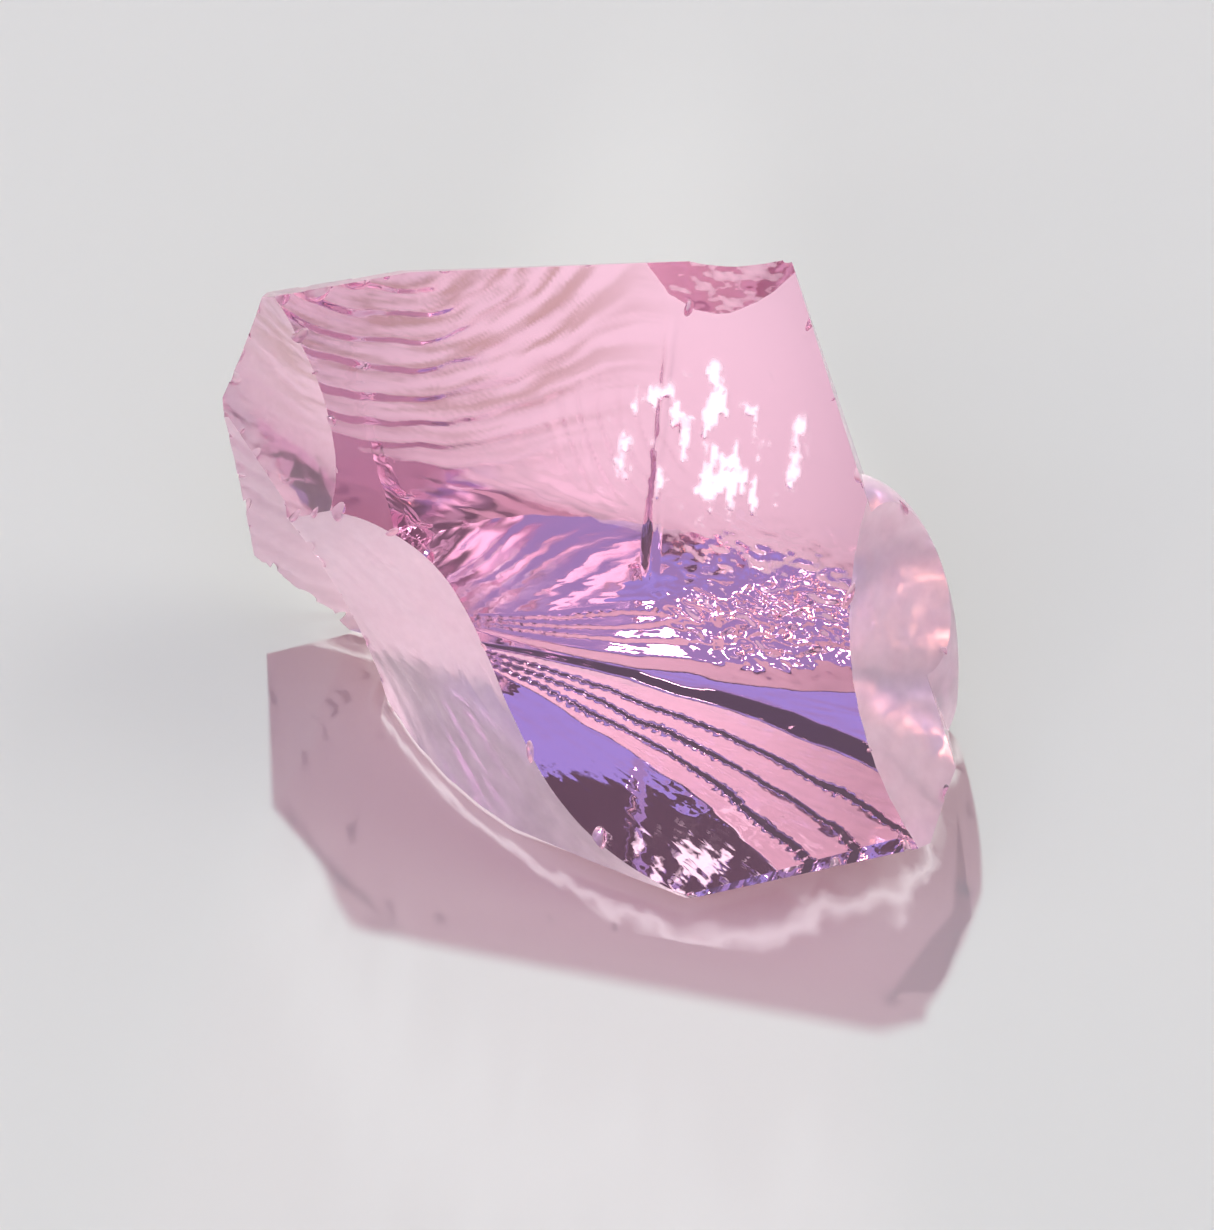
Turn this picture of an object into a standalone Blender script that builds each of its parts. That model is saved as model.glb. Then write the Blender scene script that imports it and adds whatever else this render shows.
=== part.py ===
"""A raw chunk of clear pink glass, of the kind called andara crystal.

The chunk was struck off a larger lump, and every face of it is a fracture. A big flat window
leans back from a thin front lip to a narrow top edge, and a smaller face slopes away at its left
end. Under the window's left side are a ribbed wall and a notch, and to its right a hollow pale
face with a rounded shoulder behind it. The back is tall and leans out above, with rings that
spread from where it was struck.

A plain block is cut by one slab for each fracture. The slab's underside is the fracture's own
surface, so the chunk's edges are wherever two fractures meet.

Metres, +Z up. The window faces -Y, the chunk rests on a flat fracture at Z = 0, and the origin
is on that plane under the middle of the chunk's box.
"""
import math

import bmesh
import bpy
from mathutils import Matrix, Vector

MM = 0.001

# The block that the chunk is struck from, in millimetres.
BLOCK_WIDTH = 62
BLOCK_DEPTH = 50
BLOCK_HEIGHT = 46
BLOCK_BELOW_FLOOR = 6

# A slab reaches this far along its face and this far out from it, in millimetres.
SLAB_LENGTH = 90
SLAB_DEPTH = 60

# The corners that fix the chunk's size, in millimetres from the point under the window's middle.
FRONT_LIP = (6.0, -16.7, 1.8)
RIGHT_LIP = (21.25, -16.3, 6.7)
TOP_RIGHT = (12.9, 9.0, 37.0)
TOP_BEND = (-12.9, 11.6, 33.0)
LEFT_TIP = (-25.3, 13.9, 19.8)
LEFT_LOW_EDGE = (-24.8, 12.1, 11.5)
NOTCH_TOP = (-22.0, 6.6, 18.4)
NOTCH_RIDGE = (-18.4, 4.5, 11.1)
NOTCH_FOOT = (-24.2, 11.9, 4.7)
WALL_END = (-19.1, 4.5, 11.1)
SHOULDER_LOW = (23.6, -9.0, 5.0)

# Points in the middle of the larger faces.
WINDOW_MIDDLE = (5.0, -2.9, 19.4)
WALL_MIDDLE = (-8.55, -4.7, 7.0)
NOTCH_MIDDLE = (-22.7, 11.8, 8.7)
LEFT_SLOPE_MIDDLE = (-21.6, 10.0, 22.9)
PALE_MIDDLE = (17.8, -7.6, 15.5)
BACK_MIDDLE = (2.96, 7.63, 17.0)

# The rounded shoulder is part of a stretched ball.
SHOULDER_MIDDLE = (16.8, 0.0, 4.0)
SHOULDER_RADII = (8.5, 8.0, 20.5)

# The middle of the chunk's box, which becomes the origin.
BOX_MIDDLE = Vector((-0.12, -0.58, 0.0))

GLASS_PINK = (0.90, 0.58, 0.70, 1.0)
GLASS_ROUGHNESS = 0.04
GLASS_IOR = 1.5


def place(point):
    """A point of the tables above, in metres from the origin."""
    return (Vector(point) - BOX_MIDDLE) * MM


def face_frame(through, azimuth, elevation):
    """The frame of a face: X along it, Y up it and Z out of it.

    The face looks out at an azimuth of 0 degrees at -Y and 90 at +X, and an elevation above level.
    """
    turn = math.radians(azimuth)
    lift = math.radians(elevation)
    out = Vector((math.sin(turn) * math.cos(lift), -math.cos(turn) * math.cos(lift), math.sin(lift)))
    along = Vector((math.cos(turn), math.sin(turn), 0))
    axes = Matrix((along, out.cross(along), out)).transposed()
    return Matrix.Translation(place(through)) @ axes.to_4x4()


def bend(hollow_along=0.0, hollow_up=0.0, flare=0.0):
    """A fracture's large shape: its two hollows as 1/radius, and how it opens upwards."""
    return lambda x, y: (hollow_along * x * x + hollow_up * y * y) / 2 + flare * x * x * y


def lip(lean, turn, start, softness):
    """Above its start a face leans out by a steady slope, which turns from one side to the other."""
    def rise(x, y):
        above = y - start
        blend = max(softness - abs(above), 0) / softness
        return (lean + turn * x) * (max(above, 0) + blend ** 3 * softness / 6)
    return rise


def rings(height, pitch, struck_at):
    """Rings about the point that was struck, as on a shell."""
    return lambda x, y: height * math.sin(math.tau * math.hypot(x - struck_at[0], y - struck_at[1]) / pitch)


def ridges(height, pitch, direction):
    """Straight ridges that run along a direction, in degrees from the face's X."""
    lean = math.radians(direction)
    return lambda x, y: height * math.sin(math.tau * (x * math.sin(lean) - y * math.cos(lean)) / pitch)


def add_tool(name, mesh, frame):
    """An object that only shapes the chunk, shown as wire and left out of the render."""
    bmesh.ops.triangulate(mesh, faces=mesh.faces)
    data = bpy.data.meshes.new(name)
    mesh.to_mesh(data)
    mesh.free()
    tool = bpy.data.objects.new(name, data)
    tool.matrix_world = frame
    tool.hide_render = True
    tool.display_type = "WIRE"
    bpy.context.collection.objects.link(tool)
    return tool


def fracture(name, through, azimuth, elevation, cells=(1, 1), shapes=(), roll=0.0, length=SLAB_LENGTH):
    """A closed slab that takes away everything in front of one face.

    Its underside is a grid that follows the sum of the shapes. The grid is rolled in the plane of
    the face, so that its cells can run along the face's ridges.
    """
    mesh = bmesh.new()
    bmesh.ops.create_grid(mesh, x_segments=cells[0], y_segments=cells[1], size=0.5)
    spin = Matrix.Rotation(math.radians(roll), 3, "Z")
    for vert in mesh.verts:
        flat = spin @ (vert.co * length)
        rise = sum(shape(flat.x, flat.y) for shape in shapes)
        vert.co = Vector((flat.x, flat.y, rise)) * MM
    underside = list(mesh.faces)
    bmesh.ops.reverse_faces(mesh, faces=underside)
    raised = bmesh.ops.extrude_face_region(mesh, geom=underside, use_keep_orig=True)
    for item in raised["geom"]:
        if isinstance(item, bmesh.types.BMVert):
            item.co.z = SLAB_DEPTH * MM
    bmesh.ops.recalc_face_normals(mesh, faces=mesh.faces)
    return add_tool(name, mesh, face_frame(through, azimuth, elevation))


def swelling(name, middle, radii):
    """A stretched ball that fills the chunk out where it stands proud."""
    mesh = bmesh.new()
    bmesh.ops.create_icosphere(mesh, subdivisions=4, radius=MM)
    bmesh.ops.scale(mesh, vec=radii, verts=mesh.verts)
    return add_tool(name, mesh, Matrix.Translation(place(middle)))


def shape_with(target, operation, tool):
    """Cut a tool off a target, add it, or keep only what they share."""
    step = target.modifiers.new(tool.name, "BOOLEAN")
    step.operation = operation
    step.solver = "EXACT"
    step.object = tool


def pink_glass():
    """Clear pink glass, the chunk's one material."""
    material = bpy.data.materials.new("pink_glass")
    material.use_nodes = True
    shader = material.node_tree.nodes["Principled BSDF"]
    shader.inputs["Base Color"].default_value = GLASS_PINK
    shader.inputs["Roughness"].default_value = GLASS_ROUGHNESS
    shader.inputs["Metallic"].default_value = 0.0
    shader.inputs["IOR"].default_value = GLASS_IOR
    shader.inputs["Transmission Weight"].default_value = 1.0
    return material


def raw_block():
    """The block before the first blow, which reaches below the floor."""
    mesh = bmesh.new()
    bmesh.ops.create_cube(mesh, size=MM)
    bmesh.ops.scale(mesh, vec=(BLOCK_WIDTH, BLOCK_DEPTH, BLOCK_HEIGHT), verts=mesh.verts)
    bmesh.ops.translate(mesh, vec=(0, 0, (BLOCK_HEIGHT / 2 - BLOCK_BELOW_FLOOR) * MM), verts=mesh.verts)
    data = bpy.data.meshes.new("crystal")
    mesh.to_mesh(data)
    mesh.free()
    chunk = bpy.data.objects.new("crystal", data)
    bpy.context.collection.objects.link(chunk)
    return chunk


def back():
    """The tall back, upright at its foot, which leans out at its top and turns as it goes up."""
    lean_out = lip(lean=0.13, turn=-0.0055, start=-4.5, softness=6.0)
    blow = rings(height=0.2, pitch=5.0, struck_at=(18, 29))
    return fracture("back", BACK_MIDDLE, 164.5, 0.0, (68, 68), (lean_out, blow))


def pale_face():
    """The hollow face at the right of the window."""
    large_shape = bend(hollow_along=1 / 40, hollow_up=1 / 28)
    blow = rings(height=0.08, pitch=4.0, struck_at=(-6, -24))
    return fracture("pale_face", PALE_MIDDLE, 60.0, 28.5, (40, 40), (large_shape, blow), length=50)


def ribbed_wall():
    """The steep wall under the left of the window, hollow above and round below."""
    large_shape = bend(flare=0.0024)
    ribs = ridges(height=0.16, pitch=2.6, direction=-34)
    wall = fracture("ribbed_wall", WALL_MIDDLE, -48.0, 8.5, (26, 130), (large_shape, ribs), roll=-34)
    shape_with(wall, "INTERSECT", fracture("wall_end", WALL_END, 84.0, 19.0))
    return wall


def notch():
    """The deep place at the left, between the wall's outer ridge and the left end."""
    large_shape = bend(hollow_along=1 / 60, hollow_up=1 / 60)
    blow = rings(height=0.15, pitch=3.2, struck_at=(6, 14))
    hollow = fracture("notch", NOTCH_MIDDLE, -14.0, 1.0, (60, 60), (large_shape, blow), length=60)
    shape_with(hollow, "INTERSECT", fracture("notch_side", NOTCH_RIDGE, -95.7, -19.2))
    shape_with(hollow, "INTERSECT", fracture("notch_top", NOTCH_TOP, -62.4, -22.6))
    return hollow


def strike_chunk():
    """Strike each face off the block, the large ones first."""
    chunk = raw_block()
    chunk.data.materials.append(pink_glass())

    shape_with(chunk, "DIFFERENCE", fracture("upper_right", TOP_RIGHT, 99.0, 16.0))
    shape_with(chunk, "UNION", swelling("shoulder", SHOULDER_MIDDLE, SHOULDER_RADII))

    shape_with(chunk, "DIFFERENCE", back())
    shape_with(chunk, "DIFFERENCE", fracture("window", WINDOW_MIDDLE, -12.6, 37.0))
    shape_with(chunk, "DIFFERENCE", pale_face())
    shape_with(chunk, "DIFFERENCE", ribbed_wall())
    shape_with(chunk, "DIFFERENCE", notch())

    shape_with(chunk, "DIFFERENCE", fracture("left_end", LEFT_TIP, -109.0, 17.6))
    shape_with(chunk, "DIFFERENCE", fracture("left_end_below", LEFT_LOW_EDGE, -88.0, -4.8))
    shape_with(chunk, "DIFFERENCE", fracture("left_slope", LEFT_SLOPE_MIDDLE, -50.8, 23.3))
    shape_with(chunk, "DIFFERENCE", fracture("top_edge", TOP_RIGHT, 184.5, 50.0))
    shape_with(chunk, "DIFFERENCE", fracture("top_left_edge", TOP_BEND, 198.0, 51.0))

    shape_with(chunk, "DIFFERENCE", fracture("under_left", NOTCH_FOOT, -164.0, -42.0))
    shape_with(chunk, "DIFFERENCE", fracture("under_front_lip", FRONT_LIP, -25.0, -50.0))
    shape_with(chunk, "DIFFERENCE", fracture("under_right_lip", RIGHT_LIP, 21.0, -46.0))
    shape_with(chunk, "DIFFERENCE", fracture("under_shoulder", SHOULDER_LOW, 75.0, -25.0))
    shape_with(chunk, "DIFFERENCE", fracture("rest", (0, 0, 0), 0.0, -90.0))


for old in list(bpy.data.objects):
    bpy.data.objects.remove(old, do_unlink=True)
strike_chunk()
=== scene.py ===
# %% [markdown]
# # A raw chunk of clear pink glass
#
# The object is one lump of pink glass, struck off a larger block and left as it broke. Glass has
# no grain, so it breaks along smooth shell-shaped faces. The look of the chunk is almost all
# light: each face bends what lies behind it, and the back and the base are seen through the big
# front window.
#
# The lesson makes the chunk the way it was made: a plain block, and one blow for each face. It
# starts by loading the packed solid, which fixes the size and the place of everything.

# %% Load the frame
import math
import random

import bmesh
import bpy
from mathutils import Matrix, Vector


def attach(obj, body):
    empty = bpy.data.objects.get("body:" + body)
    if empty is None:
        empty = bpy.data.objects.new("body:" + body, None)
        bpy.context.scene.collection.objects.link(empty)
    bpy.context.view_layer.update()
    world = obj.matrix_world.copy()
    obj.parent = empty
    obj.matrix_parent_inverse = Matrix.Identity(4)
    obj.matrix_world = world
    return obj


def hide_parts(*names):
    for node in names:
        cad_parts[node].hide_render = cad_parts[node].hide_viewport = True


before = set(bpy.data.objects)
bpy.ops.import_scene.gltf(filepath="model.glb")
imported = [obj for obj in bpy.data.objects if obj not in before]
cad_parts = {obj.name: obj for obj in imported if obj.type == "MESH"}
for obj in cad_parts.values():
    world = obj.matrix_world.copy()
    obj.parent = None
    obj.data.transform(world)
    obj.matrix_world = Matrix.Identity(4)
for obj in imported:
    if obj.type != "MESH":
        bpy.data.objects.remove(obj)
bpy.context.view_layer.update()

MM = 0.001

# %% [markdown]
# ## Writing nodes as arithmetic
#
# Blender's node trees can be built one node and one link at a time, but a formula is then hard
# to read. The two small classes below let Python's own arithmetic do it: a `Wire` is the output
# of a node, and adding two wires adds a Math node. Any other node comes from `Bench.node`.


# %% Wires and benches
class Wire:
    """The output of a node, on which Python's arithmetic adds Math nodes."""

    def __init__(self, bench, socket):
        self.bench = bench
        self.socket = socket

    def maths(self, operation, *others):
        """A Math node on this wire and others, which may be wires or numbers."""
        values = dict(enumerate((self, *others)))
        return self.bench.node("ShaderNodeMath", {"operation": operation}, values)

    def __add__(self, other):
        return self.maths("ADD", other)

    def __sub__(self, other):
        return self.maths("SUBTRACT", other)

    def __mul__(self, other):
        return self.maths("MULTIPLY", other)

    def __truediv__(self, other):
        return self.maths("DIVIDE", other)

    def __rtruediv__(self, other):
        return self.bench.node("ShaderNodeMath", {"operation": "DIVIDE"}, {0: other, 1: self})

    def __rsub__(self, other):
        return self * -1 + other

    __radd__ = __add__
    __rmul__ = __mul__

    def other(self, name):
        """Another output of the same node."""
        return Wire(self.bench, self.socket.node.outputs[name])


class Bench:
    """A node tree that is being written."""

    def __init__(self, tree):
        self.tree = tree

    def node(self, kind, settings=None, values=None, output=0):
        """Add a node: its settings first, then its values or links. Returns one of its outputs."""
        made = self.tree.nodes.new(kind)
        for name, setting in (settings or {}).items():
            setattr(made, name, setting)
        for name, value in (values or {}).items():
            self.feed(made.inputs[name], value)
        return Wire(self, made.outputs[output]) if made.outputs else None

    def feed(self, socket, value):
        """Link a wire to a socket, or give it a plain value."""
        if isinstance(value, Wire):
            self.tree.links.new(value.socket, socket)
        else:
            socket.default_value = value

    def smooth_step(self, value, low, high):
        """0 where a value is at its low end, 1 at its high end, and smooth between them."""
        values = {"Value": value, "From Min": low, "From Max": high}
        return self.node("ShaderNodeMapRange", {"interpolation_type": "SMOOTHSTEP"}, values)

    def blend_colours(self, share, first, second):
        """The first colour where the share is 0, and the second where it is 1."""
        return self.node("ShaderNodeMix", {"data_type": "RGBA"}, {0: share, 6: first, 7: second}, output=2)

    def blend_surfaces(self, share, first, second):
        """The first surface where the share is 0, and the second where it is 1."""
        return self.node("ShaderNodeMixShader", values={0: share, 1: first, 2: second})


print("arithmetic on wires:", ", ".join(name.strip("_") for name in vars(Wire) if name.startswith("__r")))

# %% [markdown]
# ## The rule of a fracture
#
# A blow on glass sends a crack out in a shell-shaped front. The face it leaves has a large hollow
# or bulge, rings about the point that was struck, fine streaks that run away from that point, and
# coarse splinters, called hackle, where the crack ran fast. That is a rule, so one Geometry Nodes
# tree can make every face. The tree makes a closed slab whose underside is the face. Everything in
# front of the face is inside the slab, so taking the slab away from the block strikes the face off.
#
# All the tree's lengths are in millimetres. The same tree with other numbers makes the nearly flat
# window, the ribbed wall and the swirling back. A place on the sheet is given by how far it is
# along and up from the slab's middle.

# %% The sizes of one fracture, with the values of a plain flat one
FRACTURE = {
    # The slab, the cells of its underside, and its roll in degrees.
    "length": 90.0,
    "reach": 90.0,
    "depth": 60.0,
    "cells_along": 2,
    "cells_up": 2,
    "roll": 0.0,
    # The large shape: hollows as 1/radius, one that opens upwards, and a lip that leans out.
    "hollow_along": 0.0,
    "hollow_up": 0.0,
    "flare": 0.0,
    "lip_lean": 0.0,
    "lip_turn": 0.0,
    "lip_start": 0.0,
    "lip_softness": 1.0,
    # Where the blow fell, and the rings about it. They run level to the left of ring_level.
    "struck_along": 0.0,
    "struck_up": 0.0,
    "ring_height": 0.0,
    "ring_pitch": 5.0,
    "ring_wander": 0.0,
    "ring_start": -200.0,
    "ring_level": -200.0,
    "ring_patch_along": 0.0,
    "ring_patch_up": 0.0,
    "ring_patch_radius": 200.0,
    # A small eddy of finer rings about a point of its own.
    "eddy_height": 0.0,
    "eddy_pitch": 2.0,
    "eddy_along": 0.0,
    "eddy_up": 0.0,
    "eddy_patch_along": 0.0,
    "eddy_patch_up": 0.0,
    "eddy_patch_radius": 10.0,
    # Straight ridges in one direction, in degrees.
    "ridge_height": 0.0,
    "ridge_pitch": 2.6,
    "ridge_direction": 0.0,
    "ridge_wander": 0.0,
    # Fine grain that follows the rings or ridges, and streaks that run away from the blow.
    "grain_height": 0.0,
    "grain_size": 0.4,
    "grain_length": 7.0,
    "streak_height": 0.0,
    "streak_width": 0.6,
    "streak_length": 8.0,
    # A fan of long low steps from one point, in degrees about it, with small rungs on each drop.
    "fan_slope": 0.0,
    "fan_along": 0.0,
    "fan_up": 0.0,
    "fan_first": 0.0,
    "fan_step": 5.0,
    "fan_lead": 0.7,
    "fan_steps": 0.0,
    "fan_drop": 0.2,
    "fan_curl": 0.0,
    "fan_wander": 0.35,
    "rung_height": 0.0,
    "rung_pitch": 1.0,
    # Splinters, the bruised shards, and one crease.
    "hackle_height": 0.0,
    "hackle_size": 1.0,
    "hackle_along": 0.0,
    "hackle_up": 0.0,
    "hackle_radius": 10.0,
    "shard_slope": 0.0,
    "shard_along": 0.0,
    "shard_up": 0.0,
    "shard_radius": 6.0,
    "crease_depth": 0.0,
    "crease_along": 0.0,
    "crease_up": 0.0,
    "crease_width": 1.0,
    "crease_reach": 10.0,
    # Broad ripples, and how far apart the sheet's waverings are.
    "ripple_height": 0.0,
    "ripple_size": 6.0,
    "wander_size": 7.0,
    # The marks that the face carries, from 0 to 1, among them the painted shade of its bands, and the number of its
    # blow.
    "frost": 0.0,
    "stain": 0.0,
    "bruise": 0.0,
    "resting": 0.0,
    "blow": 0.0,
    "seed": 0.0,
}

# Each kind of unevenness draws from a seed of its own, counted from the fracture's seed.
DRAWS = {"drift": 0, "strength": 5, "hackle": 10, "ripple": 20, "streak": 30, "shard": 43, "teeth": 45,
         "grain": 50, "band": 60, "drop": 70}
print("sizes of a fracture:", len(FRACTURE))


# %% A sheet to shape
def tree_inputs(tree, sizes):
    """Give a tree one named input for each size, and return them as wires on its bench."""
    for name, value in sizes.items():
        kind = "NodeSocketInt" if isinstance(value, int) else "NodeSocketFloat"
        tree.interface.new_socket(name=name, in_out="INPUT", socket_type=kind).default_value = value
    tree.interface.new_socket(name="glass", in_out="INPUT", socket_type="NodeSocketMaterial")
    tree.interface.new_socket(name="Geometry", in_out="OUTPUT", socket_type="NodeSocketGeometry")
    bench = Bench(tree)
    group_input = tree.nodes.new("NodeGroupInput")
    return bench, {socket.name: Wire(bench, socket) for socket in group_input.outputs if socket.name}


# A wave is a sum of sines, each with its height, its waves in one turn and its shift in radians.
WAVE_PARTS = ((1.0, 1.0, 0.0), (0.35, 2.0, 0.9), (0.16, 3.3, 2.0))


def wave(turns):
    """A wave with sharper crests than troughs, with finer waves on its slopes."""
    return sum(high * (turns * (often * math.tau) + shift).maths("SINE") for high, often, shift in WAVE_PARTS)


class Sheet:
    """The underside of a slab while it is shaped. Its x and y are in millimetres."""

    # A patch fades from this share of its radius. The forms' strength changes by this share, in
    # lumps of this size.
    FADE_START = 0.45
    UNEVEN = 0.7
    UNEVEN_LUMP = 4.0

    def __init__(self, bench, size, x, y):
        self.bench = bench
        self.size = size
        self.x = x
        self.y = y
        self.drift = self.noise("drift", x, y, size["wander_size"])
        self.strength = 1 + self.UNEVEN * self.noise("strength", x, y, self.UNEVEN_LUMP)

    def noise(self, draw, x, y, lump=1.0, detail=2.0):
        """Smooth lumps of one size, from -1 to 1."""
        point = self.bench.node("ShaderNodeCombineXYZ", values={"X": x / lump, "Y": y / lump})
        return self.bench.node("ShaderNodeTexNoise", {"noise_dimensions": "4D"}, {
            "Vector": point, "W": self.size["seed"] + DRAWS[draw],
            "Scale": 1.0, "Detail": detail, "Roughness": 0.55}) * 2 - 1

    def away(self, place, x=None):
        """How far each point is from a named place."""
        across = (self.x if x is None else x) - self.size[place + "_along"]
        up = self.y - self.size[place + "_up"]
        return (across * across + up * up).maths("SQRT")

    def bearing(self, place):
        """The direction in which each point lies from a named place, in radians."""
        return (self.y - self.size[place + "_up"]).maths("ARCTAN2", self.x - self.size[place + "_along"])

    def fade(self, away, reach):
        """1 near the middle, falling smoothly to 0 at the reach."""
        return self.bench.smooth_step(away, reach, reach * self.FADE_START)

    def patch(self, place):
        """1 in the middle of a named patch, and 0 outside it."""
        return self.fade(self.away(place), self.size[place + "_radius"])


print("kinds of noise on a sheet:", ", ".join(DRAWS))

# %% [markdown]
# ## The large shape, the rings and the ridges
#
# A face is first a large calm form, and the marks of the crack lie on it in waves far lower than
# they are wide. Rings spread from the blow like ripples on a pond, but they wander, and they are
# stronger in some places than in others. Where the crack ran straight, the rings are ridges.


# %% Hollows, rings and ridges
def large_shape(sheet):
    """Two hollows, one that opens upwards, and a lip that leans out and turns."""
    size, x, y = sheet.size, sheet.x, sheet.y
    hollow = (size["hollow_along"] * x * x + size["hollow_up"] * y * y) / 2
    above = (y - size["lip_start"]).maths("SMOOTH_MAX", 0.0, size["lip_softness"])
    return hollow + size["flare"] * x * x * y + (size["lip_lean"] + size["lip_turn"] * x) * above


# In millimetres: how softly the rings turn level, how fast they begin, and how far an eddy's stray.
LEVELLING = 6.0
RING_ONSET = 1.5
EDDY_WANDER = 0.6


def rings(sheet):
    """The rings, with how far each point is from the blow and where the rings have begun."""
    size = sheet.size
    levelled = sheet.x.maths("SMOOTH_MAX", size["ring_level"], LEVELLING)
    from_blow = sheet.away("struck", levelled)
    begun = sheet.bench.smooth_step(from_blow, size["ring_start"], size["ring_start"] + RING_ONSET)
    ring = wave((from_blow + size["ring_wander"] * sheet.drift) / size["ring_pitch"])
    ring = ring * size["ring_height"] * sheet.strength * begun * sheet.patch("ring_patch")
    return ring, from_blow, begun


def eddy(sheet):
    """A small swirl of finer rings."""
    swirl = wave((sheet.away("eddy") + EDDY_WANDER * sheet.drift) / sheet.size["eddy_pitch"])
    return swirl * sheet.size["eddy_height"] * sheet.strength * sheet.patch("eddy_patch")


def ridges(sheet):
    """Straight ridges, with how far each point is across them and along them."""
    size = sheet.size
    lean = size["ridge_direction"].maths("RADIANS")
    across = sheet.x * lean.maths("SINE") - sheet.y * lean.maths("COSINE")
    along = sheet.x * lean.maths("COSINE") + sheet.y * lean.maths("SINE")
    ridge = wave((across + size["ridge_wander"] * sheet.drift) / size["ridge_pitch"])
    return ridge * size["ridge_height"] * sheet.strength, across, along


print("large forms:", ", ".join(form.__name__ for form in (large_shape, rings, eddy, ridges)))

# %% [markdown]
# ## The fine marks
#
# Streaks run straight away from the blow, and fine grain follows the rings or ridges. Bands of
# the same grain, but wider, are painted shade: they darken the glass's colour where the rings
# would show darker bands by bending light, so they aren't raised.
#
# The base broke in a fan of long low steps, with rungs like a ladder's on each drop. Hackle is
# plain noise in a patch. The shards are small raised flakes, where the glass was bruised and let
# go in a crowd of tiny cracks. A crease is a single sharp groove.

# %% Streaks, grain and bands
# Streaks and grain are measured round a circle about the blow, of this radius in millimetres.
STREAK_RADIUS = 30
GRAIN_RADIUS = 20
GROOVE_WANDER = 0.8
# The bands of painted shade: their width and length in millimetres, and the noise levels between which they darken.
BAND_WIDTH = 0.8
BAND_LENGTH = 10.0
BAND_EDGES = (-0.15, 0.2)


def streaks(sheet, from_blow, begun):
    """Lines that run away from the blow."""
    size = sheet.size
    around = sheet.bearing("struck") * STREAK_RADIUS / size["streak_width"]
    return sheet.noise("streak", around, from_blow / size["streak_length"]) * size["streak_height"] * begun


def grooves(sheet, from_blow, across, along):
    """Across and along the ridges where a face has them, and otherwise the rings."""
    has_ridges = sheet.size["ridge_height"].maths("GREATER_THAN", 0.0)
    no_ridges = 1 - has_ridges
    groove = from_blow * no_ridges + across * has_ridges + GROOVE_WANDER * sheet.drift
    run = sheet.bearing("struck") * GRAIN_RADIUS * no_ridges + along * has_ridges
    return groove, run


def grain(sheet, groove, run):
    """Fine lines that follow the rings or ridges."""
    size = sheet.size
    fine = sheet.noise("grain", groove / size["grain_size"], run / size["grain_length"], detail=3.0)
    return fine * size["grain_height"] * sheet.patch("ring_patch")


def stain_bands(sheet, groove, run):
    """How much painted shade the bands put on each place, from 0 to 1."""
    bands = sheet.noise("band", groove / BAND_WIDTH, run / BAND_LENGTH, detail=3.0)
    return sheet.bench.smooth_step(bands, *BAND_EDGES) * sheet.size["stain"] * sheet.patch("ring_patch")


# %% The fan of steps
# Each step has a wide tread that falls slowly and a narrow drop that rises back. The width of a
# drop changes along it and from step to step. The first step has no drop.
DROP_LENGTH = 8
DROP_APART = 7.3
DROP_WIDTHS = (0.25, 1.5)
NO_DROP = 100
RUNG_REACH = 1.3
RUNG_WANDER = 0.3


def fan_of_steps(sheet):
    """Long low steps that spread like a fan from one point, with rungs across each drop."""
    size = sheet.size
    reach = sheet.away("fan")
    bearing = sheet.bearing("fan").maths("DEGREES") + size["fan_wander"] * sheet.drift
    phase = (bearing + size["fan_curl"] * reach - size["fan_first"]) / size["fan_step"]
    part = phase.maths("FRACT")
    chance = sheet.noise("drop", phase.maths("FLOOR") * DROP_APART, reach / DROP_LENGTH, detail=1.0) + 0.5
    narrow, spread_out = DROP_WIDTHS
    width = size["fan_drop"] * (narrow + spread_out * chance.maths("MAXIMUM", 0.0))
    drop = part * (1 / width - 1) + NO_DROP * phase.maths("LESS_THAN", 1.0)
    step = (1 - part).maths("MINIMUM", drop) * phase.maths("GREATER_THAN", 0.0)
    lead = (1 + phase / size["fan_lead"]).maths("MAXIMUM", 0.0) * phase.maths("LESS_THAN", 0.0)
    inside = phase.maths("LESS_THAN", size["fan_steps"])
    height = reach * size["fan_slope"] * size["fan_step"].maths("RADIANS")
    on_drop = part.maths("LESS_THAN", width * RUNG_REACH) * phase.maths("GREATER_THAN", 0.5) * inside
    rung = wave((reach + RUNG_WANDER * sheet.drift) / size["rung_pitch"]) * size["rung_height"] * on_drop
    return rung - (step + lead) * inside * height


# %% Hackle, shards, ripples and a crease
# Shards are narrow and tall, with fine teeth along their ends. Sizes are in millimetres.
TOOTH = (0.3, 1.2)
TOOTH_PUSH = 0.6
SHARD = (1.5, 4.5)
SHARD_EDGES = (0.06, 0.14)
SHARD_STEP = 3.0
CREASE_WANDER = 0.5


def hackle(sheet):
    """Coarse splinters in a patch."""
    size = sheet.size
    splinter = sheet.noise("hackle", sheet.x / size["hackle_size"], sheet.y / size["hackle_size"], detail=3.0)
    return splinter * size["hackle_height"] * sheet.patch("hackle")


def shards(sheet):
    """The relief of the bruised flakes, and how bruised each place is."""
    teeth = sheet.noise("teeth", sheet.x / TOOTH[0], sheet.y / TOOTH[1], detail=1.0)
    flake = sheet.noise("shard", sheet.x / SHARD[0], (sheet.y + TOOTH_PUSH * teeth) / SHARD[1], detail=3.0)
    bruised = sheet.bench.smooth_step(flake * sheet.patch("shard"), *SHARD_EDGES)
    tilt = ((sheet.y + teeth) / SHARD_STEP).maths("FRACT") * SHARD_STEP * sheet.size["shard_slope"]
    return tilt * bruised, sheet.size["bruise"] * bruised


def ripples(sheet):
    """A broad unevenness all over."""
    size = sheet.size
    return sheet.noise("ripple", sheet.x / size["ripple_size"], sheet.y / size["ripple_size"]) * size["ripple_height"]


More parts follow.
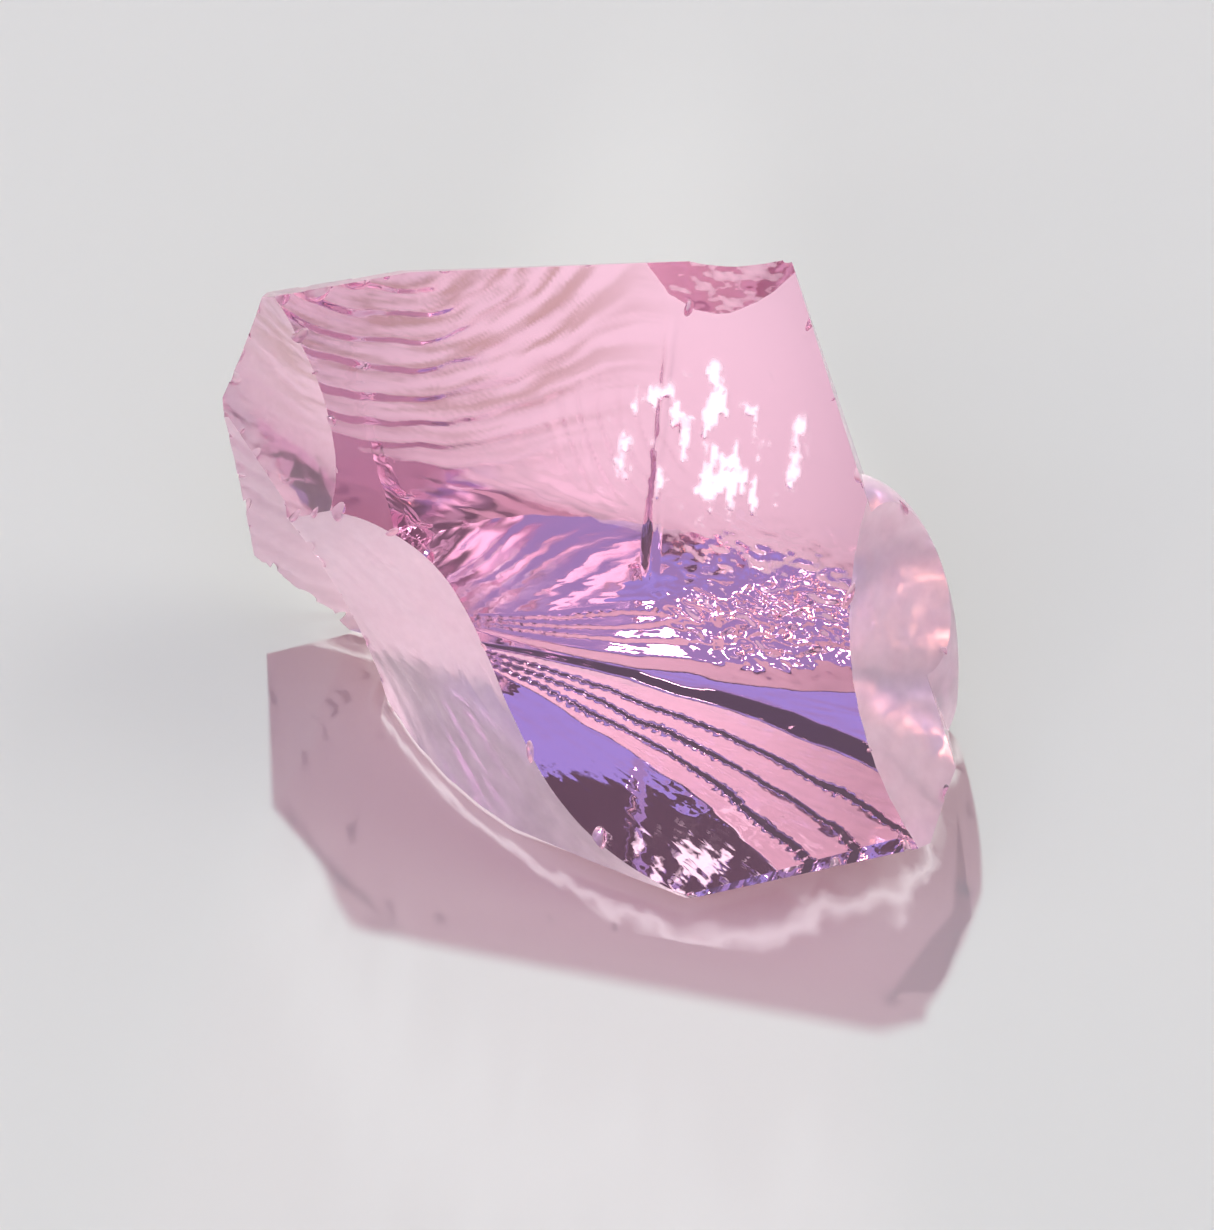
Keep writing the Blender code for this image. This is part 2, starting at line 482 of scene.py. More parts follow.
def crease(sheet):
    """How deep one sharp groove is, which runs up the face."""
    size = sheet.size
    side = (sheet.x - size["crease_along"] - CREASE_WANDER * sheet.drift) / size["crease_width"]
    length = sheet.fade((sheet.y - size["crease_up"]).maths("ABSOLUTE"), size["crease_reach"])
    return (1 - side.maths("ABSOLUTE")).maths("MAXIMUM", 0.0) * size["crease_depth"] * length


print("fine marks:", ", ".join(form.__name__ for form in (
    streaks, grain, stain_bands, fan_of_steps, hackle, shards, ripples, crease)))

# %% [markdown]
# ## The fracture tree
#
# The tree starts from a box, rolls it in the plane of the face, and raises its underside by the
# sum of the forms. Each slab also marks its faces with the number of the blow, how frosted the
# break is and whether the chunk rests on it, and its points with the painted shade of its bands
# and the bruise. Marks outlast the cutting, so the finished chunk still carries them and its
# material can read them.

# %% Write the tree
FADING_MARKS = ("stain", "bruise")


def store_marks(bench, shape, marks):
    """Write each mark on the faces, or on the points where it fades."""
    for name, value in marks.items():
        domain = "POINT" if name in FADING_MARKS else "FACE"
        shape = bench.node("GeometryNodeStoreNamedAttribute", {"data_type": "FLOAT", "domain": domain}, {
            "Geometry": shape, "Name": name, "Value": value})
    return shape


def fracture_tree():
    """The rule of a fracture, as a Geometry Nodes tree with one input for each size."""
    tree = bpy.data.node_groups.new("fracture", "GeometryNodeTree")
    bench, size = tree_inputs(tree, FRACTURE)

    slab_size = bench.node("ShaderNodeCombineXYZ", values={
        "X": size["length"] * MM, "Y": size["reach"] * MM, "Z": size["depth"] * MM})
    slab = bench.node("GeometryNodeMeshCube", values={
        "Size": slab_size, "Vertices X": size["cells_along"], "Vertices Y": size["cells_up"], "Vertices Z": 2})
    lie = bench.node("ShaderNodeCombineXYZ", values={"Z": size["roll"].maths("RADIANS")})
    lift = bench.node("ShaderNodeCombineXYZ", values={"Z": size["depth"] * (MM / 2)})
    slab = bench.node("GeometryNodeTransform", values={"Geometry": slab, "Translation": lift, "Rotation": lie})

    place_on_slab = bench.node("ShaderNodeSeparateXYZ", values={"Vector": bench.node("GeometryNodeInputPosition")})
    underside = place_on_slab.other("Z").maths("LESS_THAN", MM)
    sheet = Sheet(bench, size, place_on_slab / MM, place_on_slab.other("Y") / MM)
    ring, from_blow, begun = rings(sheet)
    ridge, across, along = ridges(sheet)
    groove, run = grooves(sheet, from_blow, across, along)
    shard, bruised = shards(sheet)
    marks = ring + eddy(sheet) + ridge + grain(sheet, groove, run) + streaks(sheet, from_blow, begun)
    marks = marks + fan_of_steps(sheet) + hackle(sheet) + shard + ripples(sheet) - crease(sheet)
    rise = bench.node("ShaderNodeCombineXYZ", values={"Z": (large_shape(sheet) + marks) * MM})
    slab = bench.node("GeometryNodeSetPosition", values={
        "Geometry": slab, "Selection": underside, "Offset": rise})
    slab = bench.node("GeometryNodeTriangulate", values={"Mesh": slab})

    # The bands' painted shade is stored on the points, with the other marks.
    slab = store_marks(bench, slab, {
        "blow": size["blow"], "frost": size["frost"], "stain": stain_bands(sheet, groove, run),
        "bruise": bruised, "resting": size["resting"]})
    slab = bench.node("GeometryNodeRealizeInstances", values={"Geometry": slab})
    slab = bench.node("GeometryNodeSetMaterial", values={"Geometry": slab, "Material": size["glass"]})
    bench.node("NodeGroupOutput", values={"Geometry": slab})
    return tree


fractures = fracture_tree()
FRACTURE_INPUTS = {item.name: item.identifier for item in fractures.interface.items_tree
                   if item.in_out == "INPUT"}
print("fracture tree:", len(fractures.nodes), "nodes")

# %% [markdown]
# ## Where the faces lie
#
# Each face goes through one known point and looks out in one direction. The points are the
# chunk's own corners and the middles of its larger faces, the same as in the packed solid, so the
# dressed chunk keeps its size.

# %% The chunk's corners and faces, in millimetres from the point under the window's middle
FRONT_LIP = (6.0, -16.7, 1.8)
RIGHT_LIP = (21.25, -16.3, 6.7)
TOP_RIGHT = (12.9, 9.0, 37.0)
TOP_BEND = (-12.9, 11.6, 33.0)
LEFT_TIP = (-25.3, 13.9, 19.8)
LEFT_LOW_EDGE = (-24.8, 12.1, 11.5)
NOTCH_FOOT = (-24.2, 11.9, 4.7)
NOTCH_TOP = (-22.0, 6.6, 18.4)
NOTCH_RIDGE = (-18.4, 4.5, 11.1)
WALL_END = (-19.1, 4.5, 11.1)
SHOULDER_LOW = (23.6, -9.0, 5.0)

WINDOW_MIDDLE = (5.0, -2.9, 19.4)
WALL_MIDDLE = (-8.55, -4.7, 7.0)
NOTCH_MIDDLE = (-22.7, 11.8, 8.7)
LEFT_SLOPE_MIDDLE = (-21.6, 10.0, 22.9)
PALE_MIDDLE = (17.8, -7.6, 15.5)
BACK_MIDDLE = (2.96, 7.63, 17.0)
DENT_MIDDLE = (7.2, 9.42, 30.6)
REST_MIDDLE = (3.0, 0.0, 0.0)

SHOULDER_MIDDLE = (16.8, 0.0, 4.0)
SHOULDER_RADII = (8.5, 8.0, 20.5)
SHOULDER_FROST = 0.8

BLOCK_MIDDLE = (0.0, -0.65, 18.0)
BLOCK_SIZE = (53.0, 35.0, 42.0)

# The middle of the chunk's box, which is the origin.
BOX_MIDDLE = Vector((-0.12, -0.58, 0.0))


def place(point):
    """A point of the tables above, in metres from the chunk's origin."""
    return (Vector(point) - BOX_MIDDLE) * MM


def outlook(azimuth, elevation):
    """The direction in which a face looks. Azimuth 0 looks at -Y, and 90 at +X."""
    turn = math.radians(azimuth)
    lift = math.radians(elevation)
    return Vector((math.sin(turn) * math.cos(lift), -math.cos(turn) * math.cos(lift), math.sin(lift)))


def face_frame(through, azimuth, elevation):
    """X along a face, Y up it and Z out of it."""
    out = outlook(azimuth, elevation)
    turn = math.radians(azimuth)
    along = Vector((math.cos(turn), math.sin(turn), 0))
    axes = Matrix((along, out.cross(along), out)).transposed()
    return Matrix.Translation(place(through)) @ axes.to_4x4()


print("block in mm:", BLOCK_SIZE)

# %% [markdown]
# ## The block and the blows
#
# Glass is struck with one tool after another, and here each tool is a slab. The Boolean modifier
# takes it off the block, and the edges of the chunk are simply where two blows meet. The block is
# only a little larger than the finished chunk. Only the shoulder is added, as part of a stretched
# ball, because a bulge is easier to put on than to leave standing.

# %% Tools that shape the glass
pink_glass = bpy.data.materials.new("pink_glass")
pink_glass.use_nodes = True
tools = []


def put_in_scene(name, data):
    """A new object that shows a mesh, a lamp or a camera."""
    made = bpy.data.objects.new(name, data)
    bpy.context.collection.objects.link(made)
    return made


def as_object(name, mesh):
    """A new object from a mesh that has been built by hand."""
    data = bpy.data.meshes.new(name)
    mesh.to_mesh(data)
    mesh.free()
    return put_in_scene(name, data)


def raw_block():
    """The block before the first blow."""
    mesh = bmesh.new()
    bmesh.ops.create_cube(mesh, size=MM)
    bmesh.ops.scale(mesh, vec=BLOCK_SIZE, verts=mesh.verts)
    bmesh.ops.translate(mesh, vec=place(BLOCK_MIDDLE), verts=mesh.verts)
    bmesh.ops.triangulate(mesh, faces=mesh.faces)
    return as_object("raw_block", mesh)


def shoulder_ball():
    """A stretched ball with an even frost."""
    mesh = bmesh.new()
    bmesh.ops.create_icosphere(mesh, subdivisions=6, radius=MM)
    bmesh.ops.scale(mesh, vec=SHOULDER_RADII, verts=mesh.verts)
    ball = as_object("shoulder", mesh)
    frost = ball.data.attributes.new("frost", "FLOAT", "FACE")
    frost.data.foreach_set("value", [SHOULDER_FROST] * len(ball.data.polygons))
    ball.location = place(SHOULDER_MIDDLE)
    tools.append(ball)
    return ball


def fracture(name, through, azimuth, elevation, **sizes):
    """The slab of one face, made by the fracture tree."""
    slab = put_in_scene(name, bpy.data.meshes.new(name))
    step = slab.modifiers.new("fracture", "NODES")
    step.node_group = fractures
    tools.append(slab)
    count = float(len(tools))
    for size, value in {**FRACTURE, "blow": count, "seed": count, **sizes}.items():
        step[FRACTURE_INPUTS[size]] = value
    step[FRACTURE_INPUTS["glass"]] = pink_glass
    slab.matrix_world = face_frame(through, azimuth, elevation)
    return slab


def shape_with(target, operation, tool):
    """Cut a tool off a target, add it, or keep only what they share."""
    step = target.modifiers.new(tool.name, "BOOLEAN")
    step.operation = operation
    step.solver = "MANIFOLD"
    step.object = tool


def strike(*blow, **sizes):
    """Take one fracture's slab off the chunk."""
    shape_with(chunk, "DIFFERENCE", fracture(*blow, **sizes))


chunk = raw_block()
print("raw block:", len(chunk.data.polygons), "triangles")

# %% The upper right side and the shoulder
strike("upper_right", TOP_RIGHT, 99.0, 16.0, frost=0.3)
shape_with(chunk, "UNION", shoulder_ball())
print("struck so far:", len(tools))

# %% [markdown]
# ## The back
#
# The back is what the window shows, so most of the detail goes there. It is upright at its foot
# and leans out from about half way up. The blow fell high at one side, and its rings sweep across
# the upper half with bands of painted rose-brown shade between them, where the rings would show
# darker bands by bending light. Lower down are a small eddy, one long crease, a crowd of white
# bruised shards, and hackle near the foot.

# %% Strike the back
strike(
    "back", BACK_MIDDLE, 164.5, 0.0, length=66.0, reach=50.0, cells_along=300, cells_up=230,
    lip_lean=0.15, lip_turn=-0.0042, lip_start=-2.5, lip_softness=6.0,
    struck_along=19.0, struck_up=21.5, wander_size=8.0,
    ring_height=0.024, ring_pitch=2.2, ring_wander=1.6, ring_level=3.0,
    ring_patch_along=15.0, ring_patch_up=14.0, ring_patch_radius=19.0,
    # The bands between the rings carry painted rose-brown shade.
    grain_height=0.020, grain_size=0.45, grain_length=5.0, stain=1.0,
    eddy_height=0.020, eddy_pitch=1.3, eddy_along=-9.0, eddy_up=7.5,
    eddy_patch_along=1.0, eddy_patch_up=5.0, eddy_patch_radius=7.0,
    hackle_height=0.15, hackle_size=1.15, hackle_along=-10.0, hackle_up=-8.0, hackle_radius=9.5,
    shard_slope=-0.05, shard_along=-5.0, shard_up=4.5, shard_radius=9.0, bruise=0.9,
    crease_depth=0.25, crease_along=-1.8, crease_up=3.5, crease_width=0.5, crease_reach=13.0,
    ripple_height=0.012, ripple_size=3.0)

# %% A shallow dent high on the back
strike(
    "top_dent", DENT_MIDDLE, 167.0, 0.0, length=24.0, reach=24.0, cells_along=120, cells_up=120,
    hollow_along=1 / 20, ripple_height=0.05, ripple_size=1.8,
    hackle_height=0.02, hackle_size=0.7, hackle_radius=8.0)
print("struck so far:", len(tools))

# %% [markdown]
# ## The window and the pale face
#
# The window is the calmest face, with hardly a ripple, so it shows the inside like a pane. The
# pale face beside it is a hollow shell, frosted by rings and streaks too fine to see one by one.

# %% Strike the window and the pale face
strike("window", WINDOW_MIDDLE, -12.6, 37.0, cells_along=120, cells_up=120, ripple_height=0.03, ripple_size=9.0)
strike(
    "pale_face", PALE_MIDDLE, 60.0, 28.5, length=50.0, cells_along=180, cells_up=180,
    hollow_along=1 / 40, hollow_up=1 / 28, struck_along=-6.0, struck_up=-24.0,
    ring_height=0.02, ring_pitch=1.9, ring_wander=1.4, ring_start=2.0,
    streak_height=0.03, streak_width=0.5, streak_length=8.0, frost=0.8)
print("struck so far:", len(tools))

# %% [markdown]
# ## The ribbed wall and the notch
#
# Under the window's left side the glass broke in a steep wall, hollow above and round below, with
# low ridges that slant down to the right. The notch beyond it is rougher. Each of the two slabs is
# first cut short by plain ones, so that it doesn't bite into its neighbour.

# %% Strike the wall and the notch
wall = fracture(
    "ribbed_wall", WALL_MIDDLE, -48.0, 8.5, length=66.0, cells_along=130, cells_up=260, roll=-34.0,
    flare=0.0024, ridge_height=0.022, ridge_pitch=2.1, ridge_direction=-34.0, ridge_wander=1.8,
    grain_height=0.045, grain_size=0.55, grain_length=7.0, ripple_height=0.05, ripple_size=3.0, frost=0.65)
shape_with(wall, "INTERSECT", fracture("wall_end", WALL_END, 84.0, 19.0))
shape_with(chunk, "DIFFERENCE", wall)

notch = fracture(
    "notch", NOTCH_MIDDLE, -14.0, 1.0, length=60.0, cells_along=200, cells_up=200,
    hollow_along=1 / 60, hollow_up=1 / 60, struck_along=6.0, struck_up=14.0,
    ring_height=0.10, ring_pitch=2.0, ring_wander=1.4, grain_height=0.08, grain_size=0.5, grain_length=4.0,
    ripple_height=0.14, ripple_size=2.2, frost=0.45)
shape_with(notch, "INTERSECT", fracture("notch_side", NOTCH_RIDGE, -95.7, -19.2))
shape_with(notch, "INTERSECT", fracture("notch_top", NOTCH_TOP, -62.4, -22.6))
shape_with(chunk, "DIFFERENCE", notch)
print("struck so far:", len(tools))

# %% [markdown]
# ## The thin left end and the top edge
#
# The left end narrows to a thin wedge. Its slope beside the window is a hollow with a soft sheen.
# The top edge is two narrow flats, which meet at a slight bend.

# %% Strike the left end and the top edge
strike("left_end", LEFT_TIP, -109.0, 17.6)
strike("left_end_below", LEFT_LOW_EDGE, -88.0, -4.8)
strike(
    "left_slope", LEFT_SLOPE_MIDDLE, -50.8, 23.3, length=50.0, reach=50.0, cells_along=120, cells_up=120,
    hollow_up=1 / 16, struck_along=12.0, struck_up=14.0, streak_height=0.03, streak_width=0.8, streak_length=6.0,
    ripple_height=0.12, ripple_size=5.0, frost=0.3)
strike("top_edge", TOP_RIGHT, 184.5, 50.0)
strike("top_left_edge", TOP_BEND, 198.0, 51.0)
print("struck so far:", len(tools))

# %% [markdown]
# ## The underside
#
# Four plain blows undercut the lips, so the chunk stands on less than its full width. The last
# one makes the flat that it rests on. Its fan of low steps is what the window shows as pink and
# dark lines, so the steps start under the left of the window and spread to the right.

# %% Strike the underside
strike("under_left", NOTCH_FOOT, -164.0, -42.0)
strike("under_front_lip", FRONT_LIP, -25.0, -50.0)
strike("under_right_lip", RIGHT_LIP, 21.0, -46.0)
strike("under_shoulder", SHOULDER_LOW, 75.0, -25.0)
strike(
    "rest", REST_MIDDLE, 0.0, -90.0, length=52.0, reach=36.0, cells_along=260, cells_up=180,
    struck_along=-14.1, struck_up=-10.4, streak_height=0.012, streak_width=0.5, streak_length=6.0,
    fan_slope=0.105, fan_along=-14.1, fan_up=-10.4, fan_first=10.5, fan_step=5.27, fan_steps=4.0,
    fan_drop=0.26, fan_curl=-0.35, fan_wander=2.6, rung_height=0.03, rung_pitch=0.8,
    ripple_height=0.008, ripple_size=4.0,
    hackle_height=0.006, hackle_size=0.9, hackle_along=3.0, hackle_up=6.0, hackle_radius=14.0, resting=1.0)
print("struck in all:", len(tools))

# %% [markdown]
# ## One plain mesh
#
# So far the chunk is a block with a list of modifiers. Making a plain mesh of it works them all
# out once. Points that all but touch are then joined, because a sliver between two cuts would
# show as a black speck in glass. Edges between two blows stay sharp and all the rest are smooth.

# %% Turn the steps into one plain mesh
WELD = 0.004 * MM
SHARP = math.radians(40)


def plain_mesh(shaped, name):
    """The mesh that an object's modifiers make, as a new object of its own."""
    evaluated = shaped.evaluated_get(bpy.context.evaluated_depsgraph_get())
    return put_in_scene(name, bpy.data.meshes.new_from_object(evaluated))


def drop_closed_slivers(mesh):
    """Take away pairs of triangles that lie on the same three points, where a sliver closed up."""
    on_corners = {}
    for face in mesh.faces:
        on_corners.setdefault(frozenset(face.verts), []).append(face)
    doubled = [face for faces in on_corners.values() if len(faces) > 1 for face in faces]
    bmesh.ops.delete(mesh, geom=doubled, context="FACES")


def weld(data):
    """Join points that all but touch, and return points on the edges between two blows."""
    mesh = bmesh.new()
    mesh.from_mesh(data)
    bmesh.ops.remove_doubles(mesh, verts=mesh.verts, dist=WELD)
    bmesh.ops.dissolve_degenerate(mesh, edges=mesh.edges, dist=WELD / 2)
    bmesh.ops.triangulate(mesh, faces=mesh.faces)
    drop_closed_slivers(mesh)
    blow = mesh.faces.layers.float["blow"]
    rims = []
    for edge in mesh.edges:
        struck_by = {round(face[blow]) for face in edge.link_faces}
        edge.smooth = len(struck_by) == 1 and edge.calc_face_angle(0.0) < SHARP
        if len(struck_by) == 2:
            rims.append(edge.verts[0].co.copy())
    for face in mesh.faces:
        face.smooth = True
    print("chunk:", len(mesh.faces), "triangles,", sum(not edge.is_manifold for edge in mesh.edges),
          "open edges,", round(mesh.calc_volume() * 1e6, 2), "cm3")
    mesh.to_mesh(data)
    mesh.free()
    return rims


struck = plain_mesh(chunk, "struck")
rims = weld(struck.data)
for tool in [chunk, *tools]:
    bpy.data.objects.remove(tool, do_unlink=True)

# %% [markdown]
# ## Chips along the edges
#
# The edges of broken glass are so thin that they chip at a touch. A chip is a small shallow shell,
# so a flattened pebble on the edge, taken away from the chunk, leaves the right hollow. The
# pebbles are turned and sized at random and never evenly spaced. Most are at the thin left end.

# %% A pebble on each point
CHIPS = {"small": 0.15, "large": 1.0, "flat": 0.35, "frost": 0.3, "blow": 90.0, "seed": 4}
PEBBLE_WIDTHS = (1.25, 0.9)
FULL_TURN = 6.3


def chip_tree():
    """A small flattened pebble on each point, turned and sized at random."""
    tree = bpy.data.node_groups.new("chips", "GeometryNodeTree")
    tree.interface.new_socket(name="Geometry", in_out="INPUT", socket_type="NodeSocketGeometry")
    bench, size = tree_inputs(tree, CHIPS)
    pebble = bench.node("GeometryNodeMeshIcoSphere", values={"Radius": MM, "Subdivisions": 3})
    turn = bench.node("FunctionNodeRandomValue", {"data_type": "FLOAT_VECTOR"}, {
        "Min": (0, 0, 0), "Max": (FULL_TURN, FULL_TURN, FULL_TURN), "Seed": size["seed"]})
    big = bench.node("FunctionNodeRandomValue", {"data_type": "FLOAT"}, {
        2: size["small"], 3: size["large"], "Seed": size["seed"] + 1}, output=1)
    scale = bench.node("ShaderNodeCombineXYZ", values={
        "X": big * PEBBLE_WIDTHS[0], "Y": big * PEBBLE_WIDTHS[1], "Z": big * size["flat"]})
    pebbles = bench.node("GeometryNodeInstanceOnPoints", values={
        "Points": size["Geometry"], "Instance": pebble, "Rotation": turn, "Scale": scale})
    pebbles = bench.node("GeometryNodeRealizeInstances", values={"Geometry": pebbles})
    pebbles = store_marks(bench, pebbles, {
        "blow": size["blow"], "frost": size["frost"], "stain": 0.0, "bruise": 0.0, "resting": 0.0})
    pebbles = bench.node("GeometryNodeSetMaterial", values={"Geometry": pebbles, "Material": size["glass"]})
    bench.node("NodeGroupOutput", values={"Geometry": pebbles})
    return tree


# %% Choose the places and chip them
# The gaps are in millimetres, mostly nearer the least than the most.
CHIP_GAPS = (1.6, 6.0)
MOSTLY_CLOSE = 1.5
CHIPPED_END = -13.0
SPARSE = 3
ABOVE_FLOOR = 0.7
CHIP_SEED = 3


def spread(points):
    """Some of the points, each at its own random gap from the ones before it."""
    chance = random.Random(CHIP_SEED)
    least, most = CHIP_GAPS
    chosen = []
    points = sorted(points, key=lambda point: tuple(round(value * 1e6) for value in point))
    chance.shuffle(points)
    for point in points:
        apart = (least + (most - least) * chance.random() ** MOSTLY_CLOSE) * MM
        apart *= 1 if point.x < CHIPPED_END * MM else SPARSE
        if point.z > ABOVE_FLOOR * MM and all((point - other).length > apart for other in chosen):
            chosen.append(point)
    return chosen


chipped = spread(rims)
chip_points = bpy.data.meshes.new("chip_points")
chip_points.from_pydata(chipped, [], [])
chips = put_in_scene("chips", chip_points)
chip_step = chips.modifiers.new("chips", "NODES")
chip_step.node_group = chip_tree()
chip_sizes = {**CHIPS, "glass": pink_glass}
for item in chip_step.node_group.interface.items_tree:
    if item.in_out == "INPUT" and item.name in chip_sizes:
        chip_step[item.identifier] = chip_sizes[item.name]
shape_with(struck, "DIFFERENCE", chips)
crystal = plain_mesh(struck, "crystal_glass")
weld(crystal.data)
for tool in (struck, chips):
    bpy.data.objects.remove(tool, do_unlink=True)
crystal.data.materials.clear()
crystal.data.materials.append(pink_glass)
print("chips:", len(chipped))

# %% [markdown]
# ## Pink glass
#
# A clear face bends the light and tints it a little each time it is crossed. The rest of the pink
# comes from depth: the inside absorbs green most and blue a little, so thick places are deeper.
# The bands of the back are painted shade: they darken the tint to rose-brown, where the rings
# would show darker bands by bending light.
#
# A frosted face is a mixture of the clear glass and a rough, whitish one. It is only milky from
# outside. From inside, where light leaves, it is a little blurred and no more, or the whole chunk
# would look full of milk.
#
# A bruise is a crowd of cracks just under the face. It glows white from inside, when light comes
# through it from behind, and looks pale and dull from outside.

# %% Clear glass, frosted glass and bruises
# Blur is roughness for each unit of frost. Milkiness is its least and what the clouds add.
CLEAR_TINT = (1.0, 0.63, 0.80, 1.0)
# The rose-brown tint of the painted shade in the back's bands.
PAINTED_SHADE_TINT = (0.42, 0.22, 0.20, 1.0)
BLUR_OUTSIDE = 0.3
BLUR_LOST_INSIDE = 0.12
MILKINESS = (0.7, 0.6)

pink_glass.node_tree.nodes.clear()
glass = Bench(pink_glass.node_tree)
spot = glass.node("ShaderNodeTexCoord", output=3)
cloud = glass.node("ShaderNodeTexNoise", values={"Vector": spot, "Scale": 400.0, "Detail": 3.0})
leaving = glass.node("ShaderNodeNewGeometry").other("Backfacing")
# The marks are read back from the chunk; one of them is the painted shade of the bands.
frost, stain, bruise, resting = (
    glass.node("ShaderNodeAttribute", {"attribute_name": mark}, output=2)
    for mark in ("frost", "stain", "bruise", "resting"))

# The clear glass's tint is darkened to rose-brown where the bands carry painted shade.
clear = glass.node("ShaderNodeBsdfPrincipled", values={
    "Base Color": glass.blend_colours(stain, CLEAR_TINT, PAINTED_SHADE_TINT),
    "Roughness": frost * (BLUR_OUTSIDE - BLUR_LOST_INSIDE * leaving), "IOR": 1.5, "Transmission Weight": 1.0})
frosted = glass.node("ShaderNodeBsdfPrincipled", values={
    "Base Color": (0.97, 0.90, 0.93, 1.0), "Roughness": 0.45, "IOR": 1.5, "Transmission Weight": 0.62})
milky = frost * (MILKINESS[0] + MILKINESS[1] * cloud) * (1 - leaving)
surface = glass.blend_surfaces(milky, clear, frosted)

dull = glass.node("ShaderNodeBsdfDiffuse", values={"Color": (0.95, 0.88, 0.91, 1.0)})
glowing = glass.node("ShaderNodeBsdfTranslucent", values={"Color": (0.95, 0.95, 0.95, 1.0)})
surface = glass.blend_surfaces(bruise, surface, glass.blend_surfaces(leaving, dull, glowing))
print("glass:", len(pink_glass.node_tree.nodes), "nodes so far")

# %% [markdown]
# ## The light that the chunk lets through
#
# Glass gathers light into bright lines on a table, which a path tracer finds only by chance. So
# that light is left out, and a ray that looks for a lamp passes straight through the glass
# instead. It is tinted pink once, where it goes in. Near the foot, real glass gathers light, so
# there the ray is made brighter: on the face that the chunk rests on, and in a thin uneven line
# just above it, which draws the bright rim around the foot.

# %% The shadow and the inside
# The rim's height above the table, its width and how far it wavers, in millimetres.
RIM_HEIGHT = 2.4
RIM_WIDTH = 0.9
RIM_WAVER = 3.4
RIM_SHARE = 0.9

level = glass.node("ShaderNodeSeparateXYZ", values={"Vector": spot}).other("Z") / MM + RIM_WAVER * (cloud - 0.5)
rim = (1 - ((level - RIM_HEIGHT) / RIM_WIDTH).maths("ABSOLUTE")).maths("MAXIMUM", 0.0)
tinted, gathered, open_way = (
    glass.node("ShaderNodeBsdfTransparent", values={"Color": colour})
    for colour in ((0.54, 0.25, 0.29, 1.0), (1.25, 1.12, 1.15, 1.0), (1.0, 1.0, 1.0, 1.0)))
shade = glass.blend_surfaces(resting.maths("MAXIMUM", rim * RIM_SHARE), tinted, gathered)
shade = glass.blend_surfaces(leaving, shade, open_way)
is_shadow_ray = glass.node("ShaderNodeLightPath", output=1)
inside = glass.node("ShaderNodeVolumeAbsorption", values={"Color": (1.0, 0.5, 0.78, 1.0), "Density": 12.0})
glass.node("ShaderNodeOutputMaterial", values={
    "Surface": glass.blend_surfaces(is_shadow_ray, surface, shade), "Volume": inside})
print("glass:", len(pink_glass.node_tree.nodes), "nodes")

# %% [markdown]
# ## The studio
#
# The chunk lies on plain white paper. Clear glass shows whatever is around it, so the room is part
# of its look. It is a dim grey room with round patches of light: a pale one at each side, a large
# violet one overhead with a bluer part, a dim ragged place like a branch against the sky, and a
# few small bright sparks. Each patch is worked out from the angle between two directions, so no
# picture is needed.

# %% The floor
FLOOR_WIDTH = 3.0
FLOOR_GAP = 0.2

bpy.ops.mesh.primitive_plane_add(size=FLOOR_WIDTH, location=(0, 0, -FLOOR_GAP * MM))
floor = bpy.context.object
floor.name = "floor"
white_paper = bpy.data.materials.new("white_paper")
white_paper.use_nodes = True
paper = white_paper.node_tree.nodes["Principled BSDF"]
paper.inputs["Base Color"].default_value = (0.78, 0.783, 0.75, 1)
paper.inputs["Roughness"].default_value = 0.8
floor.data.materials.append(white_paper)
print("floor:", FLOOR_WIDTH, "m wide")

# %% The room
ROOM = (0.11, 0.11, 0.11, 1)
ABOVE = (0.09, 0.085, 0.09, 1)
PALE_RIGHT = (1.5, 1.5, 1.45, 1)
PALE_LEFT = (0.9, 0.9, 0.88, 1)
VIOLET = (0.36, 0.38, 0.64, 1)
BLUE = (0.36, 0.45, 0.92, 1)
DIM = (0.10, 0.09, 0.095, 1)

# Azimuth, elevation, radius, softness and raggedness in degrees, then the colour.
PATCHES = (
    (106, 38, 22, 6, 0.0, PALE_RIGHT), (-78, 22, 17, 6, 0.0, PALE_LEFT), (-10, 55, 42, 8, 0.0, VIOLET),
    (-36, 60, 13, 3, 0.0, BLUE), (-43, 71, 17, 1.0, 12.0, DIM))
SPARK_RADIUS = 1.8
SPARK_SOFTNESS = 0.5
SPARKS = (
    (-20, 35, (13, 12, 12, 1)), (-52, 38, (15, 9, 5, 1)), (-62, 47, (12, 12, 14, 1)), (-44, 27, (15, 8, 4, 1)),
    (-33, 30, (13, 12, 11, 1)), (-8, 38, (12, 9, 14, 1)), (-60, 30, (14, 10, 6, 1)))

world = bpy.data.worlds.new("studio")
bpy.context.scene.world = world
world.use_nodes = True
world.node_tree.nodes.clear()
sky = Bench(world.node_tree)
direction = sky.node("ShaderNodeTexCoord", output=0)
leaves = sky.node("ShaderNodeTexNoise", values={"Vector": direction, "Scale": 9.0, "Detail": 6.0, "Roughness": 0.75})


def patch_of_sky(azimuth, elevation, radius, softness, ragged=0.0):
    """1 inside a round part of the sky and 0 outside it."""
    near = sky.node("ShaderNodeVectorMath", {"operation": "DOT_PRODUCT"},
                    {0: direction, 1: outlook(azimuth, elevation)}, output=1)
    away = near.maths("ARCCOSINE").maths("DEGREES") + ragged * (leaves - 0.5)
    return sky.smooth_step(away, radius + softness, radius - softness)


height = sky.node("ShaderNodeSeparateXYZ", values={"Vector": direction}).other("Z")
light = sky.blend_colours(sky.smooth_step(height, 0.5, 0.8), ROOM, ABOVE)
for *patch, colour in PATCHES:
    light = sky.blend_colours(patch_of_sky(*patch), light, colour)
for azimuth, elevation, colour in SPARKS:
    spark = patch_of_sky(azimuth, elevation, SPARK_RADIUS, SPARK_SOFTNESS)
    light = sky.blend_colours(spark, light, colour)
sky.node("ShaderNodeOutputWorld", values={
    "Surface": sky.node("ShaderNodeBackground", values={"Color": light, "Strength": 1.0})})
print("room:", len(PATCHES), "patches and", len(SPARKS), "sparks")

